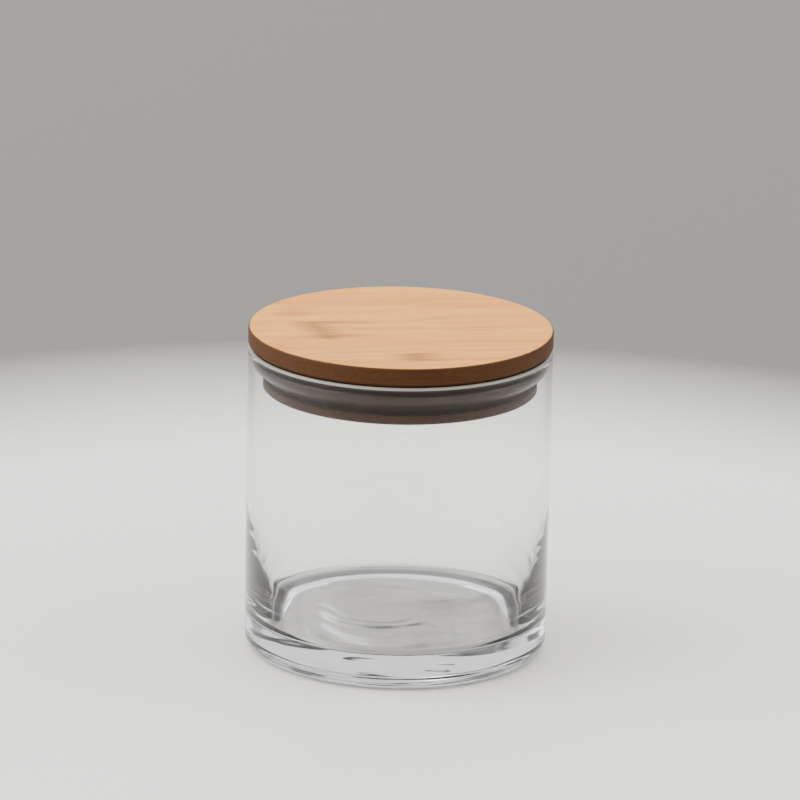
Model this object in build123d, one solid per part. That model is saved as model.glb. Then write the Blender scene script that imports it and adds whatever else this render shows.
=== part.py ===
from build123d import *
import os

# Lidded glass canister: a round jar with a thin wall and a heavy base, closed by a plug lid.
# The lid is turned from a three-ply bamboo board whose plies are edge-glued strips, and a
# silicone ring sits in a groove round the plug and seals against the glass.
# Millimetres, +Z up. The origin is the centre of the base, on the surface that the jar stands on.

# Jar
JAR_RADIUS = 50.0
JAR_HEIGHT = 102.5          # to the top of the rim
WALL = 1.6                  # at the rim
FLOOR_HEIGHT = 11.0         # inside floor above the standing surface
FLOOR_FLAT_RADIUS = 43.4    # where the inside floor starts to curve up into the wall
TAPER_TOP = 50.0            # above this height the wall has its rim thickness
TAPER = ((2.4, 33.0), (3.9, 23.0), (5.0, 16.0), (5.4, 13.0))   # wall thickness and height
HEEL_RADIUS = 4.5           # outside, between the base and the wall
RING_INNER_RADIUS = 40.0    # inner edge of the flat ring that the jar stands on
PUNT_RADIUS = 33.0          # flat middle of the hollow underneath
PUNT_DEPTH = 1.4

# Lid board
RIM_GAP = 0.1               # between the lid's underside and the rim
DISC_THICKNESS = 6.5
TOP_ARRIS = 0.8             # rounded top edge of the disc
DISC_CHAMFER = 1.4          # bevelled lower edge of the disc
PLUG_CHAMFER = 0.8          # bevelled lower edge of the plug
PLUG_RADIUS = 45.0
PLUG_DEPTH = 13.7
GRAIN_TURN = 8.0            # degrees about +Z, from +X to the grain of the outer plies

# Glue lines between the strips of each ply, measured across its grain from the lid's centre
TOP_GLUE_LINES = (-31.0, -13.5, 8.5, 28.5)
CORE_GLUE_LINES = (-29.0, -9.0, 11.0, 31.0)
BOTTOM_GLUE_LINES = (-27.0, -6.0, 14.0, 33.0)

# Seal
GROOVE_RADIUS = 42.2        # groove floor
GROOVE_LIP = 3.1            # wood left below the groove
GROOVE_HEIGHT = 8.8
SEAL_FIT = 0.1              # clearance between the ring and the groove, all round
SEAL_BAND = 2.4             # radial thickness of the part in the groove
FIN_THICKNESS = 1.3
FIN_FOOT = 1.7              # bevel from the ring's underside out to the foot of the fin
FIN_HEIGHT = 5.8            # from the foot to the fin's tip
FIN_ROOT = 2.5              # from the foot to where the fin's inner face leaves the band
GLASS_CLEARANCE = 0.15      # between the fin and the glass

LID_UNDERSIDE = JAR_HEIGHT + RIM_GAP
LID_TOP = LID_UNDERSIDE + DISC_THICKNESS
PLUG_BOTTOM = LID_UNDERSIDE - PLUG_DEPTH
PLY_JOINT = LID_UNDERSIDE - PLUG_DEPTH / 2
GROOVE_BOTTOM = PLUG_BOTTOM + GROOVE_LIP
GROOVE_TOP = GROOVE_BOTTOM + GROOVE_HEIGHT


def turned(outline):
    """A solid turned about Z from a closed outline, drawn as radius and height."""
    return revolve(Plane.XZ * make_face(outline), Axis.Z)


def glass_jar():
    """The jar in one piece: hollow underside, heel, wall, rounded rim, tapered inside and floor."""
    inside = JAR_RADIUS - WALL
    rim = JAR_HEIGHT - WALL / 2
    heel = JAR_RADIUS - HEEL_RADIUS
    taper = [(JAR_RADIUS - thickness, height) for thickness, height in TAPER]
    return turned([
        Line((0, PUNT_DEPTH), (PUNT_RADIUS, PUNT_DEPTH)),
        Spline((PUNT_RADIUS, PUNT_DEPTH), (RING_INNER_RADIUS, 0), tangents=[(1, 0), (1, -0.7)]),
        Line((RING_INNER_RADIUS, 0), (heel, 0)),
        CenterArc((heel, HEEL_RADIUS), HEEL_RADIUS, -90, 90),
        Line((JAR_RADIUS, HEEL_RADIUS), (JAR_RADIUS, rim)),
        CenterArc((JAR_RADIUS - WALL / 2, rim), WALL / 2, 0, 180),
        Line((inside, rim), (inside, TAPER_TOP)),
        Spline(
            (inside, TAPER_TOP), *taper, (FLOOR_FLAT_RADIUS, FLOOR_HEIGHT),
            tangents=[(0, -1), (-1, 0)],
        ),
        Line((FLOOR_FLAT_RADIUS, FLOOR_HEIGHT), (0, FLOOR_HEIGHT)),
        Line((0, FLOOR_HEIGHT), (0, PUNT_DEPTH)),
    ])


def seal_ring():
    """The silicone ring: a band that fills the groove, and one fin flaring up to the glass."""
    inner = GROOVE_RADIUS + SEAL_FIT
    face = inner + SEAL_BAND
    low = GROOVE_BOTTOM + SEAL_FIT
    high = GROOVE_TOP - SEAL_FIT
    foot = low + FIN_FOOT
    root = foot + FIN_ROOT
    tip_radius = FIN_THICKNESS / 2
    reach = JAR_RADIUS - WALL - GLASS_CLEARANCE
    tip_height = foot + FIN_HEIGHT - tip_radius
    return turned([
        Line((inner, low), (face - FIN_FOOT, low)),
        Line((face - FIN_FOOT, low), (face, foot)),
        Spline((face, foot), (reach, tip_height), tangents=[(1, 1), (0, 1)]),
        CenterArc((reach - tip_radius, tip_height), tip_radius, 0, 180),
        Spline((reach - FIN_THICKNESS, tip_height), (face, root), tangents=[(0, -1), (-1, -0.8)]),
        Line((face, root), (face, high)),
        Line((face, high), (inner, high)),
        Line((inner, high), (inner, low)),
    ])


def top_ply():
    """The lid's overhanging disc, with a rounded top edge."""
    return turned([
        Line((0, LID_UNDERSIDE), (JAR_RADIUS - DISC_CHAMFER, LID_UNDERSIDE)),
        Line((JAR_RADIUS - DISC_CHAMFER, LID_UNDERSIDE), (JAR_RADIUS, LID_UNDERSIDE + DISC_CHAMFER)),
        Line((JAR_RADIUS, LID_UNDERSIDE + DISC_CHAMFER), (JAR_RADIUS, LID_TOP - TOP_ARRIS)),
        CenterArc((JAR_RADIUS - TOP_ARRIS, LID_TOP - TOP_ARRIS), TOP_ARRIS, 0, 90),
        Line((JAR_RADIUS - TOP_ARRIS, LID_TOP), (0, LID_TOP)),
        Line((0, LID_TOP), (0, LID_UNDERSIDE)),
    ])


def core_ply():
    """The upper half of the plug, down to the glue joint half way through the groove."""
    return turned(Polyline(
        (0, LID_UNDERSIDE), (PLUG_RADIUS, LID_UNDERSIDE), (PLUG_RADIUS, GROOVE_TOP),
        (GROOVE_RADIUS, GROOVE_TOP), (GROOVE_RADIUS, PLY_JOINT), (0, PLY_JOINT), close=True,
    ).edges())


def bottom_ply():
    """The lower half of the plug, with the lip that keeps the seal in its groove."""
    return turned(Polyline(
        (0, PLY_JOINT), (GROOVE_RADIUS, PLY_JOINT), (GROOVE_RADIUS, GROOVE_BOTTOM),
        (PLUG_RADIUS, GROOVE_BOTTOM), (PLUG_RADIUS, PLUG_BOTTOM + PLUG_CHAMFER),
        (PLUG_RADIUS - PLUG_CHAMFER, PLUG_BOTTOM), (0, PLUG_BOTTOM), close=True,
    ).edges())


def strips(ply, glue_lines, grain_turn):
    """The strips that a ply is glued up from: slices along X, then turned to the ply's grain."""
    reach = 1.1 * JAR_RADIUS
    edges = [-reach, *glue_lines, reach]
    for near, far in zip(edges, edges[1:]):
        slab = Pos(0, (near + far) / 2, 0) * Box(2 * reach, far - near, 3 * JAR_HEIGHT)
        yield Rot(0, 0, grain_turn) * (ply & slab).solid()


def main():
    os.makedirs("parts", exist_ok=True)
    pieces = {"glass_jar": glass_jar(), "seal_ring": seal_ring()}
    plies = {
        "lid_top_strip": (top_ply(), TOP_GLUE_LINES, GRAIN_TURN),
        "lid_core_strip": (core_ply(), CORE_GLUE_LINES, GRAIN_TURN + 90),
        "lid_bottom_strip": (bottom_ply(), BOTTOM_GLUE_LINES, GRAIN_TURN),
    }
    for name, ply in plies.items():
        for number, strip in enumerate(strips(*ply), start=1):
            pieces[f"{name}_{number}"] = strip
    for name, piece in pieces.items():
        export_step(piece, f"parts/{name}.step")


main()
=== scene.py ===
import math

import bpy
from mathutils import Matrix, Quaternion, Vector, noise

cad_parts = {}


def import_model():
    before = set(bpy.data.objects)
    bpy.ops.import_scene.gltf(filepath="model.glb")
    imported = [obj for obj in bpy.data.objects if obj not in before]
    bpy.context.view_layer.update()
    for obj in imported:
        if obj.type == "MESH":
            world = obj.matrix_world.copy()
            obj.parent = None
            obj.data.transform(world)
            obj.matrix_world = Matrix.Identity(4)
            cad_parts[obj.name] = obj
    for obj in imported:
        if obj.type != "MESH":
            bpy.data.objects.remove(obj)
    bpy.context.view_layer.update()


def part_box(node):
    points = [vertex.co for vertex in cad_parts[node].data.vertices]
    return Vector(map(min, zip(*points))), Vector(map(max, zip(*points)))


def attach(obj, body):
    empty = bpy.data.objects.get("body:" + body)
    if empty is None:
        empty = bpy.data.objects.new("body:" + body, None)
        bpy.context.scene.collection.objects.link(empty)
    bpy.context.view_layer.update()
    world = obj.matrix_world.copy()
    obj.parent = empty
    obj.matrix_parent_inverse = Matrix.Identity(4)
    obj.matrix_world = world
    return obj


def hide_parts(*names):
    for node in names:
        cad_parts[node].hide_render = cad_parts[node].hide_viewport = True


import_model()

MM = 0.001

# The jar, in metres. Its outer radius and height come from the frame.
JAR_LOW, JAR_HIGH = (Vector(corner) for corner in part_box("glass_jar"))
JAR_RADIUS = (JAR_HIGH.x - JAR_LOW.x) / 2
JAR_HEIGHT = JAR_HIGH.z
WALL = 1.6 * MM
FLOOR_HEIGHT = 11.0 * MM
FLOOR_FLAT_RADIUS = 43.4 * MM
TAPER_TOP = 50 * MM
TAPER = [
    (JAR_RADIUS - thickness * MM, height * MM)
    for thickness, height in ((2.4, 33), (3.9, 23), (5.0, 16), (5.4, 13))
]
HEEL_RADIUS = 4.5 * MM
RING_INNER_RADIUS = 40 * MM
PUNT_RADIUS = 33 * MM
PUNT_DEPTH = 1.4 * MM
JAR_SEGMENTS = 384
SATIN_RIM = 1.1 * MM            # height of the mouth's satin edge
CHILL_DEPTH = 0.12 * MM         # rings of chill marks in the wall, on two sides near the base
CHILL_PITCH = 2.6 * MM
WALL_WAVE = 0.06 * MM           # slow unevenness of the wall, the inside floor and the underside
FLOOR_WAVE = 0.12 * MM
PUNT_WAVE = 0.22 * MM
SWIRL_HEIGHT = 0.4 * MM         # a shallow spiral mark in the inside floor
SWIRL_WIDTH = 2.2 * MM

GRAIN_TURN = math.radians(8)


# ---------------------------------------------------------------- meshes

def arc(centre, radius, start, end, steps):
    """Points of a circular arc, from one angle to another in degrees."""
    angles = (math.radians(start + (end - start) * i / steps) for i in range(steps + 1))
    return [(centre[0] + radius * math.cos(a), centre[1] + radius * math.sin(a)) for a in angles]


def hermite(start, end, leave, arrive, steps):
    """Points of a cubic from start to end that leaves and arrives along the given vectors."""
    points = []
    for i in range(steps + 1):
        t = i / steps
        weights = (2 * t**3 - 3 * t**2 + 1, t**3 - 2 * t**2 + t, 3 * t**2 - 2 * t**3, t**3 - t**2)
        points.append(tuple(
            sum(w * part[k] for w, part in zip(weights, (start, leave, end, arrive))) for k in (0, 1)
        ))
    return points


def through(points, first, last, steps):
    """Points of a smooth curve through the given ones, with its end directions given."""
    slopes = [first]
    for before, after in zip(points, points[2:]):
        slopes.append(((after[0] - before[0]) / 2, (after[1] - before[1]) / 2))
    slopes.append(last)
    curve = [points[0]]
    for i in range(len(points) - 1):
        curve += hermite(points[i], points[i + 1], slopes[i], slopes[i + 1], steps)[1:]
    return curve


def smooth(start, end, value):
    """0 at start, 1 at end, and an even curve between them."""
    t = min(1, max(0, (value - start) / (end - start)))
    return t * t * (3 - 2 * t)


def straight(start, end, steps):
    """Points from start to end, without the start itself."""
    return [
        (start[0] + (end[0] - start[0]) * i / steps, start[1] + (end[1] - start[1]) * i / steps)
        for i in range(1, steps + 1)
    ]


def lathe(name, profile, segments, shift=None):
    """A smooth mesh turned about Z from an outline that starts and ends on the axis.

    shift takes a point and gives the point that the uneven surface really has there.
    """
    rings = profile[1:-1]
    vertices = [(0, 0, profile[0][1])]
    for radius, height in rings:
        for i in range(segments):
            angle = 2 * math.pi * i / segments
            vertices.append((radius * math.cos(angle), radius * math.sin(angle), height))
    vertices.append((0, 0, profile[-1][1]))
    if shift:
        vertices = [shift(Vector(v)) for v in vertices]
    faces = []
    last = len(vertices) - 1
    for i in range(segments):
        j = (i + 1) % segments
        faces.append((0, 1 + j, 1 + i))
        for ring in range(len(rings) - 1):
            low, high = 1 + ring * segments, 1 + (ring + 1) * segments
            faces.append((low + i, low + j, high + j, high + i))
        top = 1 + (len(rings) - 1) * segments
        faces.append((top + i, top + j, last))
    mesh = bpy.data.meshes.new(name)
    mesh.from_pydata(vertices, [], faces)
    mesh.polygons.foreach_set("use_smooth", [True] * len(faces))
    mesh.update()
    piece = bpy.data.objects.new(name, mesh)
    bpy.context.scene.collection.objects.link(piece)
    return piece


def jar_profile():
    """The jar's outline from the middle of its underside, round the rim, to its inside floor."""
    inside = JAR_RADIUS - WALL
    rim = JAR_HEIGHT - WALL / 2
    heel = JAR_RADIUS - HEEL_RADIUS
    profile = [(0, PUNT_DEPTH)]
    profile += straight((0, PUNT_DEPTH), (PUNT_RADIUS, PUNT_DEPTH), 24)
    profile += hermite(
        (PUNT_RADIUS, PUNT_DEPTH), (RING_INNER_RADIUS, 0), (8 * MM, 0), (6 * MM, -2 * MM), 14
    )[1:]
    profile += straight((RING_INNER_RADIUS, 0), (heel, 0), 6)
    profile += arc((heel, HEEL_RADIUS), HEEL_RADIUS, -90, 0, 28)[1:]
    profile += straight((JAR_RADIUS, HEEL_RADIUS), (JAR_RADIUS, rim), 96)
    profile += arc((JAR_RADIUS - WALL / 2, rim), WALL / 2, 0, 180, 16)[1:]
    profile += straight((inside, rim), (inside, TAPER_TOP), 48)
    profile += through(
        [(inside, TAPER_TOP), *TAPER, (FLOOR_FLAT_RADIUS, FLOOR_HEIGHT)],
        (0, -18 * MM), (-1.6 * MM, 0), 20,
    )[1:]
    profile += straight((FLOOR_FLAT_RADIUS, FLOOR_HEIGHT), (0, FLOOR_HEIGHT), 40)
    return profile


def ripple(point):
    """Where a point of the jar's drawn surface really is, with the unevenness of pressed glass."""
    radius = math.hypot(point.x, point.y)
    angle = math.atan2(point.y, point.x)
    around = Vector((math.cos(angle), math.sin(angle), 0))
    if point.z < PUNT_DEPTH + 0.1 * MM and radius < RING_INNER_RADIUS:
        middle = smooth(RING_INNER_RADIUS, PUNT_RADIUS - 6 * MM, radius)
        return point + Vector((0, 0, PUNT_WAVE * middle * noise.noise(point * 80)))
    if radius > JAR_RADIUS - 1.2 * MM or point.z < FLOOR_HEIGHT - 0.1 * MM:
        return point
    if radius > FLOOR_FLAT_RADIUS:
        near_base = smooth(56 * MM, 26 * MM, point.z) * smooth(13 * MM, 20 * MM, point.z)
        at_seam = smooth(0.88, 0.985, abs(around.x))
        rings = noise.noise(Vector((around.x * 0.8, around.y * 3.0, point.z / CHILL_PITCH)))
        slow = noise.noise(Vector((around.x * 1.5, around.y * 1.5, point.z / (40 * MM) + 7)))
        return point + around * near_base * (CHILL_DEPTH * at_seam * rings + WALL_WAVE * slow)
    edge = smooth(FLOOR_FLAT_RADIUS, FLOOR_FLAT_RADIUS - 6 * MM, radius)
    lift = FLOOR_WAVE * noise.noise(point * 60 + Vector((3, 1, 5)))
    turn = math.degrees(angle) % 360
    along = smooth(185, 215, turn) * smooth(325, 290, turn)
    middle = (27 - 0.08 * (turn - 198)) * MM
    lift += SWIRL_HEIGHT * along * math.exp(-((radius - middle) / SWIRL_WIDTH) ** 2)
    return point + Vector((0, 0, lift * edge))


# ---------------------------------------------------------------- material helpers

class Shader:
    """A material's node tree, with short calls for the nodes that this scene uses."""

    def __init__(self, name):
        self.material = bpy.data.materials.new(name)
        self.material.use_nodes = True
        self.tree = self.material.node_tree
        self.nodes = self.tree.nodes
        self.surface = self.nodes["Principled BSDF"]
        self.output = self.nodes["Material Output"]

    def link(self, source, target):
        self.tree.links.new(source, target)

    def feed(self, socket, value):
        """Set a socket to a plain value, or link it to an output."""
        if isinstance(value, bpy.types.NodeSocket):
            self.link(value, socket)
        else:
            socket.default_value = value

    def coords(self, turn=0.0, scale=(1, 1, 1), offset=(0, 0, 0)):
        """Object coordinates, turned so that X runs along the grain and then scaled."""
        place = self.nodes.new("ShaderNodeTexCoord")
        spin = self.nodes.new("ShaderNodeMapping")
        spin.inputs["Rotation"].default_value = (0, 0, -turn)
        self.link(place.outputs["Object"], spin.inputs["Vector"])
        stretch = self.nodes.new("ShaderNodeMapping")
        stretch.inputs["Scale"].default_value = scale
        stretch.inputs["Location"].default_value = offset
        self.link(spin.outputs["Vector"], stretch.inputs["Vector"])
        return stretch.outputs["Vector"]

    def noise(self, vector, detail=2.0, roughness=0.5, distortion=0.0):
        node = self.nodes.new("ShaderNodeTexNoise")
        self.link(vector, node.inputs["Vector"])
        node.inputs["Scale"].default_value = 1.0
        node.inputs["Detail"].default_value = detail
        node.inputs["Roughness"].default_value = roughness
        node.inputs["Distortion"].default_value = distortion
        return node.outputs["Fac"]

    def maths(self, operation, *values):
        node = self.nodes.new("ShaderNodeMath")
        node.operation = operation
        for socket, value in zip(node.inputs, values):
            self.feed(socket, value)
        return node.outputs[0]

    def spread(self, value, low, high, to_low=0.0, to_high=1.0):
        node = self.nodes.new("ShaderNodeMapRange")
        self.link(value, node.inputs["Value"])
        node.inputs["From Min"].default_value = low
        node.inputs["From Max"].default_value = high
        node.inputs["To Min"].default_value = to_low
        node.inputs["To Max"].default_value = to_high
        return node.outputs["Result"]

    def mix(self, amount, first, second, blend="MIX"):
        node = self.nodes.new("ShaderNodeMix")
        node.data_type = "RGBA"
        node.blend_type = blend
        self.feed(node.inputs["Factor"], amount)
        for socket, value in ((node.inputs[6], first), (node.inputs[7], second)):
            self.feed(socket, (*value, 1) if isinstance(value, tuple) else value)
        return node.outputs[2]

    def facing(self, up):
        """1 where the surface faces up, or down if up is -1, and 0 on its sides."""
        place = self.nodes.new("ShaderNodeTexCoord")
        split = self.nodes.new("ShaderNodeSeparateXYZ")
        self.link(place.outputs["Normal"], split.inputs[0])
        return self.spread(split.outputs["Z"], 0.8 * up, 0.97 * up)

    def bump(self, height, distance, strength=1.0):
        node = self.nodes.new("ShaderNodeBump")
        node.inputs["Distance"].default_value = distance
        node.inputs["Strength"].default_value = strength
        self.link(height, node.inputs["Height"])
        return node.outputs["Normal"]


def srgb(red, green, blue):
    """A linear colour from display values of 0 to 255."""
    return tuple(
        v / 12.92 if v <= 0.04045 else ((v + 0.055) / 1.055) ** 2.4
        for v in (red / 255, green / 255, blue / 255)
    )


# ---------------------------------------------------------------- materials

WOOD_LIGHT = srgb(232, 166, 82)
WOOD_WARM = srgb(228, 154, 74)
WOOD_BAND = srgb(198, 122, 54)
WOOD_FIBRE = srgb(188, 112, 48)
WOOD_THREAD = srgb(168, 96, 42)
# Dark browns of the turned sides: partly darker end grain, partly painted shade
SIDE_GRAIN_AND_SHADE_PALE = srgb(80, 47, 16)
SIDE_GRAIN_AND_SHADE_DEEP = srgb(64, 36, 12)

KNUCKLES = {
    # place along the grain, lean, tail, and the part of the strip's width that it covers, in mm
    "lid_top_strip_1": ((-0.7, 0.1, 17), (-41, -31), 0.9, srgb(150, 94, 48)),
    "lid_top_strip_3": ((-32.5, -0.227, 26), (-13.5, 8.5), 0.8, srgb(130, 76, 40)),
    "lid_top_strip_4": ((-40.5, 0.15, 9), (14, 28), 0.5, srgb(168, 100, 44)),
}


def bamboo(name, turn, seed, tint, face, knuckle=None):
    """One bamboo strip: fibre bundles along its grain, slow changes of tone, and a turned side whose darker
    brown is partly end grain and partly painted shade.
    """
    s = Shader(name)
    fibres = s.noise(s.coords(turn, (26, 1900, 1900), (seed, seed * 3.1, 0)), 3.0, 0.6)
    threads = s.noise(s.coords(turn, (60, 4600, 4600), (seed * 2, 1.7, seed)), 2.0, 0.5)
    bands = s.noise(s.coords(turn, (26, 230, 230), (seed, 4.0, seed)), 3.0, 0.5, 0.3)
    drift = s.noise(s.coords(turn, (14, 40, 40), (seed, 9.0, seed)), 1.0, 0.5)
    base = s.mix(s.spread(drift, 0.35, 0.65), WOOD_LIGHT, WOOD_WARM)
    base = s.mix(s.spread(bands, 0.45, 0.75, 0.0, 0.7), base, WOOD_BAND)
    base = s.mix(s.spread(fibres, 0.5, 0.75, 0.0, 0.55), base, WOOD_FIBRE)
    base = s.mix(s.spread(threads, 0.58, 0.8, 0.0, 0.4), base, WOOD_THREAD)
    if knuckle:
        (place, lean, tail), (low, high), strength, colour = knuckle
        split = s.nodes.new("ShaderNodeSeparateXYZ")
        s.link(s.coords(turn, (1 / MM, 1 / MM, 1 / MM)), split.inputs[0])
        x, y = split.outputs["X"], split.outputs["Y"]
        wobble = s.noise(s.coords(turn, (30, 500, 500), (seed, 0, 0)), 2.0, 0.6)
        x = s.maths("SUBTRACT", x, s.maths("MULTIPLY", y, lean))
        x = s.maths("SUBTRACT", x, s.spread(wobble, 0.3, 0.7, -1.5, 1.5))
        rise = s.spread(x, place - 4, place + 5)
        core = s.spread(x, place + 4, place + 14, 1.0, 0.0)
        far = s.spread(x, place + 6, place + tail, 0.8, 0.0)
        streaks = s.spread(bands, 0.38, 0.58, 0.1, 1.0)
        edges = s.spread(y, low - 0.6, low + 1.2), s.spread(y, high + 0.6, high - 1.2)
        inside = s.maths("MULTIPLY", *edges)
        core = s.maths("MULTIPLY", core, s.spread(streaks, 0.0, 1.0, 0.8, 1.0))
        amount = s.maths("MAXIMUM", core, s.maths("MULTIPLY", far, streaks))
        amount = s.maths("MULTIPLY", s.maths("MULTIPLY", amount, rise), s.maths("MULTIPLY", inside, strength))
        base = s.mix(amount, base, colour)
    base = s.mix(1.0, base, tint, "MULTIPLY")
    # Painted shade: faces that do not point along the ply's open face (turned sides, chamfers) take a dark
    # brown, partly darker end grain and partly painted shade
    end = s.mix(s.spread(fibres, 0.4, 0.7), SIDE_GRAIN_AND_SHADE_PALE, SIDE_GRAIN_AND_SHADE_DEEP)
    base = s.mix(s.facing(face), end, base)
    s.link(base, s.surface.inputs["Base Color"])
    s.surface.inputs["Roughness"].default_value = 0.62
    s.surface.inputs["Specular IOR Level"].default_value = 0.2
    s.link(s.bump(fibres, 0.00005, 0.5), s.surface.inputs["Normal"])
    return s.material


def glass():
    s = Shader("clear_glass")
    surface = s.surface
    surface.inputs["Base Color"].default_value = (1, 1, 1, 1)
    surface.inputs["Roughness"].default_value = 0.0
    surface.inputs["IOR"].default_value = 1.52
    surface.inputs["Transmission Weight"].default_value = 1.0
    volume = s.nodes.new("ShaderNodeVolumeAbsorption")
    volume.inputs["Color"].default_value = (0.76, 0.79, 0.795, 1)
    volume.inputs["Density"].default_value = 20
    s.link(volume.outputs["Volume"], s.output.inputs["Volume"])
    return s.material


def silicone():
    s = Shader("grey_silicone")
    s.surface.inputs["Base Color"].default_value = (*srgb(69, 52, 32), 1)
    s.surface.inputs["Roughness"].default_value = 0.38
    s.surface.inputs["Subsurface Weight"].default_value = 0.25
    s.surface.inputs["Subsurface Radius"].default_value = (0.002, 0.002, 0.0018)
    return s.material


def studio_floor():
    """A pale matt surface with a painted pool of light: its colour darkens away from the jar."""
    s = Shader("studio_floor")
    tone = s.noise(s.coords(0, (6, 6, 6)), 3.0)
    near = s.mix(tone, (0.82, 0.805, 0.78), (0.85, 0.835, 0.81))
    distance = s.nodes.new("ShaderNodeVectorMath")
    distance.operation = "LENGTH"
    s.link(s.coords(), distance.inputs[0])
    # Painted light falloff: the colour darkens between 0.235 m and 0.37 m from the middle, a painted pool of
    # light round the jar
    away = s.spread(distance.outputs["Value"], 0.235, 0.37)
    s.link(s.mix(away, near, (0.13, 0.125, 0.118)), s.surface.inputs["Base Color"])
    s.surface.inputs["Roughness"].default_value = 0.6
    return s.material


def satin_rim_with_painted_reflection():
    """The satin edge of the jar's mouth, with a painted reflection of the bamboo lid in its warm colour."""
    s = Shader("ground_glass_rim_painted_reflection")
    # Warm grey-brown: partly the ground glass, partly a painted reflection of the bamboo lid
    s.surface.inputs["Base Color"].default_value = (0.48, 0.44, 0.39, 1)
    s.surface.inputs["Roughness"].default_value = 0.5
    s.surface.inputs["IOR"].default_value = 1.52
    s.surface.inputs["Transmission Weight"].default_value = 0.4
    return s.material


# ---------------------------------------------------------------- pieces

def finish(piece, material):
    """Give a piece one material."""
    piece.data.materials.clear()
    piece.data.materials.append(material)


jar = lathe("pressed_glass_jar", jar_profile(), JAR_SEGMENTS, ripple)
finish(jar, glass())
jar.data.materials.append(satin_rim_with_painted_reflection())
for face in jar.data.polygons:
    if face.center.z > JAR_HEIGHT - SATIN_RIM:
        face.material_index = 1
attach(jar, "jar")
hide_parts("glass_jar")

finish(bpy.data.objects["seal_ring"], silicone())
TONES = ((0.98, 0.97, 0.96), (1.0, 1.0, 1.0), (0.99, 0.98, 0.98), (1.0, 1.0, 0.99), (0.99, 0.96, 0.93))
PLIES = {"top": (GRAIN_TURN, 1), "core": (GRAIN_TURN + math.pi / 2, -1), "bottom": (GRAIN_TURN, -1)}
for ply, (turn, face) in PLIES.items():
    for number in range(1, 6):
        node = f"lid_{ply}_strip_{number}"
        seed = number * 7.3 + turn
        wood = bamboo(f"bamboo_{ply}_{number}", turn, seed, TONES[number - 1], face, KNUCKLES.get(node))
        finish(bpy.data.objects[node], wood)


# ---------------------------------------------------------------- floor, light and camera

def floor():
    bpy.ops.mesh.primitive_circle_add(vertices=128, radius=3.0, fill_type="NGON")
    ground = bpy.context.object
    ground.name = "studio_floor"
    finish(ground, studio_floor())


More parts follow.
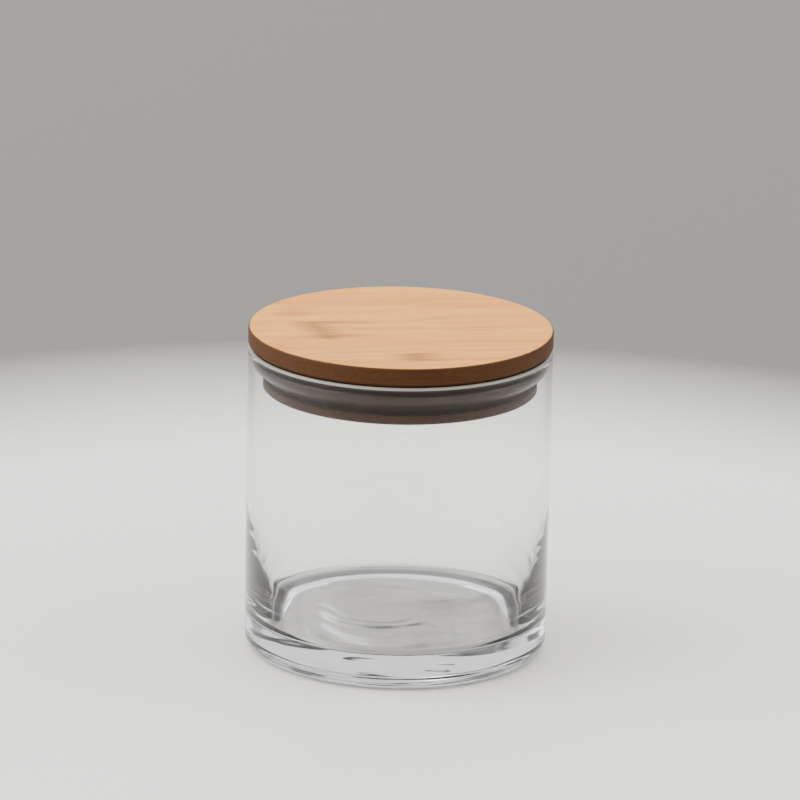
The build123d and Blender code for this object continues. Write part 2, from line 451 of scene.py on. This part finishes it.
def world():
    """A studio as a soft glow: brightest overhead and on the left, dimmest in front."""
    sky = bpy.data.worlds.new("studio")
    sky.use_nodes = True
    nodes, links = sky.node_tree.nodes, sky.node_tree.links
    place = nodes.new("ShaderNodeTexCoord")

    def maths(operation, *values):
        node = nodes.new("ShaderNodeMath")
        node.operation = operation
        for socket, value in zip(node.inputs, values):
            if isinstance(value, bpy.types.NodeSocket):
                links.new(value, socket)
            else:
                socket.default_value = value
        return node.outputs[0]

    total = SKY_BASE
    for direction, sharpness, strength in GLOWS:
        dot = nodes.new("ShaderNodeVectorMath")
        dot.operation = "DOT_PRODUCT"
        links.new(place.outputs["Generated"], dot.inputs[0])
        dot.inputs[1].default_value = Vector(direction).normalized()
        glow = maths("POWER", maths("MAXIMUM", dot.outputs["Value"], 0.0), sharpness)
        total = maths("ADD", total, maths("MULTIPLY", glow, strength))
    # Soft dark shapes low down all round, as a room has, for the glass to bend
    stretch = nodes.new("ShaderNodeMapping")
    stretch.inputs["Scale"].default_value = ROOM_SCALE
    stretch.inputs["Location"].default_value = ROOM_OFFSET
    links.new(place.outputs["Generated"], stretch.inputs["Vector"])
    shapes = nodes.new("ShaderNodeTexNoise")
    shapes.inputs["Scale"].default_value = 1.0
    shapes.inputs["Detail"].default_value = 1.0
    links.new(stretch.outputs["Vector"], shapes.inputs["Vector"])
    split = nodes.new("ShaderNodeSeparateXYZ")
    links.new(place.outputs["Generated"], split.inputs[0])

    def spread(value, low, high, to_low, to_high):
        node = nodes.new("ShaderNodeMapRange")
        links.new(value, node.inputs["Value"])
        for name, number in zip(("From Min", "From Max", "To Min", "To Max"), (low, high, to_low, to_high)):
            node.inputs[name].default_value = number
        return node.outputs["Result"]

    dark = spread(shapes.outputs["Fac"], 0.52, 0.44, 0.0, ROOM_DEPTH)
    dark = maths("MULTIPLY", dark, spread(split.outputs["Z"], 0.3, 0.45, 1.0, 0.0))
    total = maths("MULTIPLY", total, maths("SUBTRACT", 1.0, dark))
    links.new(total, nodes["Background"].inputs["Strength"])
    nodes["Background"].inputs["Color"].default_value = (1.0, 0.995, 0.985, 1)
    bpy.context.scene.world = sky


ROOM_SCALE = (3.2, 3.2, 9)
ROOM_OFFSET = (0, 3, 1)
ROOM_DEPTH = 0.95
SKY_BASE = 0.12
GLOWS = (
    # direction, sharpness, strength
    ((0, -0.15, 1), 4.0, 2.8),
    ((-1, -0.1, 0.55), 5.0, 6.2),
    ((1, 0.1, 0.55), 5.0, 3.0),
    ((0, 1, 0.28), 5.0, 1.7),
    ((-0.2, 1, 0.62), 400.0, 12.0),
)

CAMERA_DISTANCE = 1.985
CAMERA_ELEVATION = math.radians(17.36)
CAMERA_ROLL = math.radians(1.2)
MIDDLE_BELOW_CENTRE = math.radians(0.943)      # of the frame, seen from the camera
MIDDLE_LEFT_OF_CENTRE = math.radians(0.023)


def camera():
    """A long lens looking down at the jar, a little above its middle and slightly rolled."""
    middle = Vector((0, 0, JAR_RADIUS))
    lens = bpy.data.cameras.new("camera")
    lens.sensor_width = 36
    lens.lens = 270.7
    lens.clip_end = 50
    view = bpy.data.objects.new("camera", lens)
    back = Vector((0, -math.cos(CAMERA_ELEVATION), math.sin(CAMERA_ELEVATION)))
    view.location = middle + CAMERA_DISTANCE * back
    look = (-back).to_track_quat("-Z", "Y")
    roll = Quaternion((0, 0, 1), CAMERA_ROLL)
    place_in_frame = Vector((-math.tan(MIDDLE_LEFT_OF_CENTRE), -math.tan(MIDDLE_BELOW_CENTRE), -1))
    nudge = place_in_frame.rotation_difference(Vector((0, 0, -1)))
    view.rotation_mode = "QUATERNION"
    view.rotation_quaternion = look @ roll @ nudge
    bpy.context.scene.collection.objects.link(view)
    bpy.context.scene.camera = view


floor()
world()
camera()
